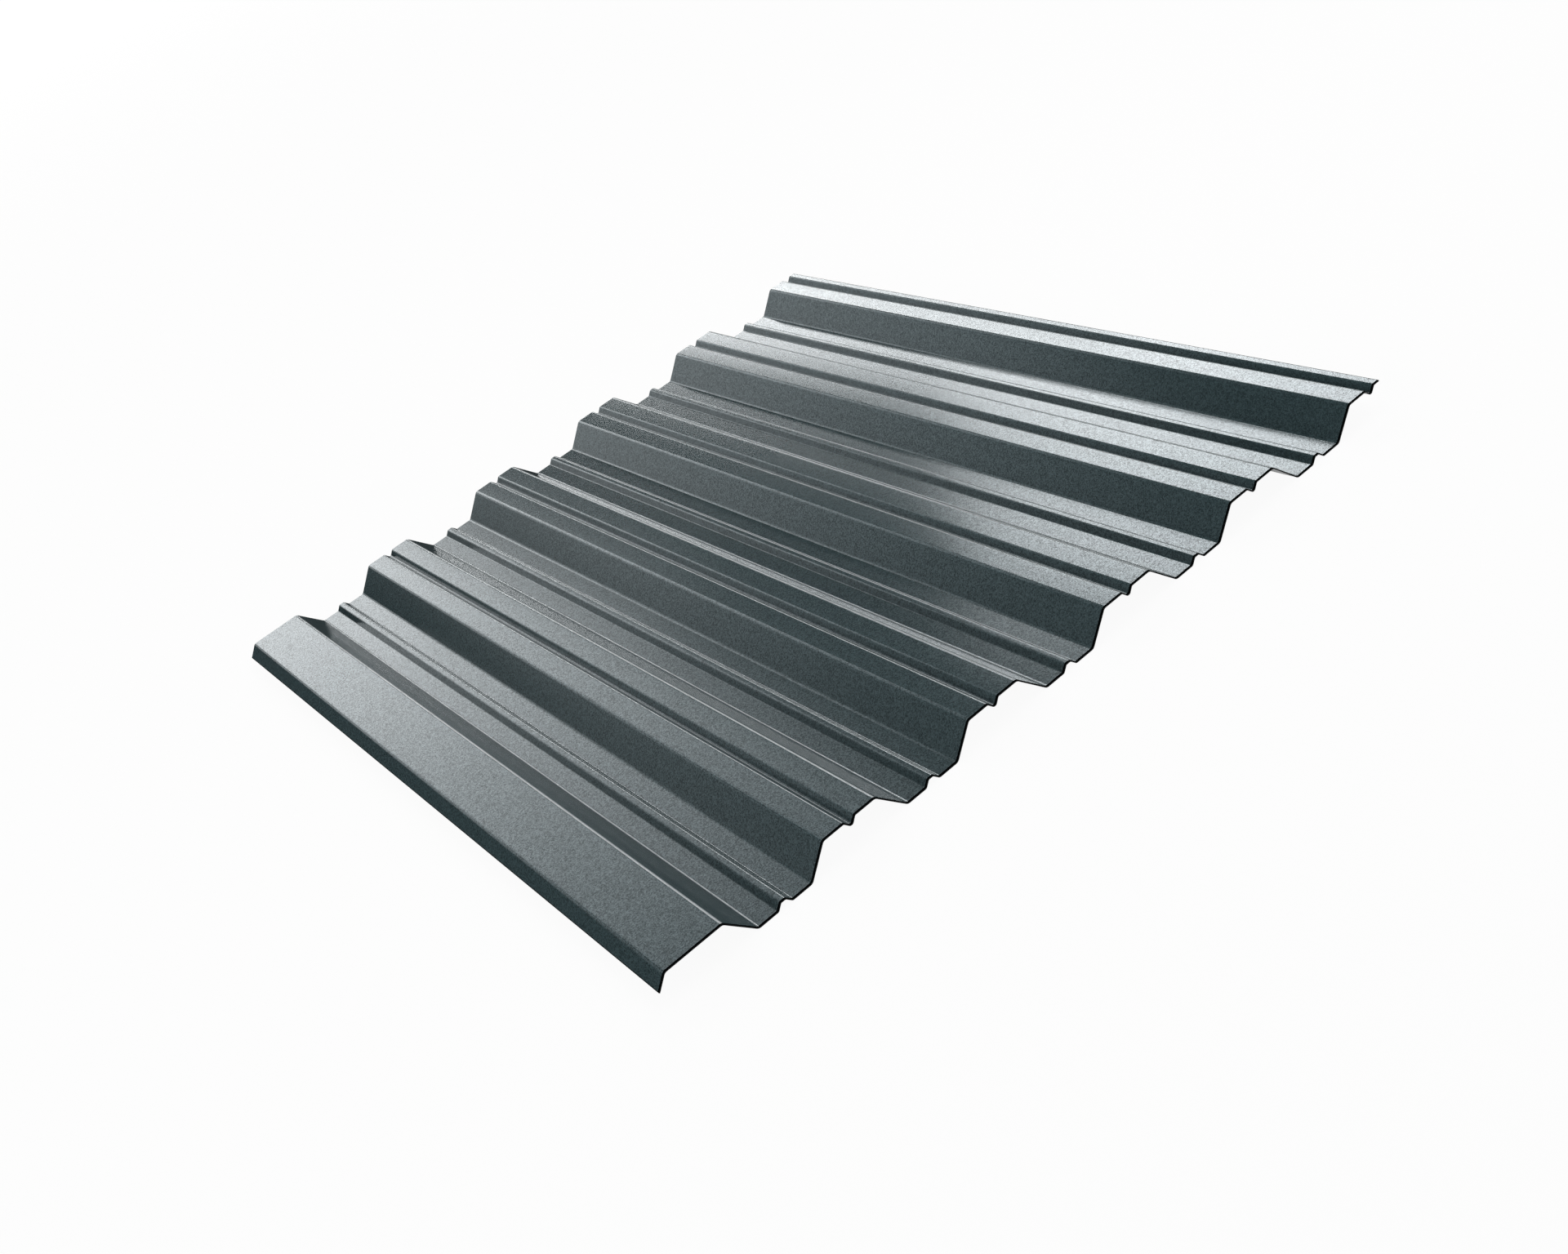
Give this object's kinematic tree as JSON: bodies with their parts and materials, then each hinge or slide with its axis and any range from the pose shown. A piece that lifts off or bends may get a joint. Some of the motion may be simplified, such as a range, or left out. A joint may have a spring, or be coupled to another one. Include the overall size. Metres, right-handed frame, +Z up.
{
  "type": "corrugated metal sheet",
  "caption": "Trapezoidal corrugated steel sheet for roofs and walls, with a rib in each trough, a groove in each crest, a lap flange on one edge and a flat lip on the other.",
  "frame": {"origin": "centre of the sheet's outline seen from above, at floor level under its troughs", "axes": "+X across the waves from the flange edge to the lip edge, +Y along the waves, +Z up from the troughs to the crests"},
  "size_m": [1.0688, 1.2, 0.034],
  "materials": {
    "coated_steel": "fine-grained slate grey coat with a silvery sheen"
  },
  "bodies": {
    "root": {"profiled_sheet": "coated_steel"}
  },
  "joints": []
}
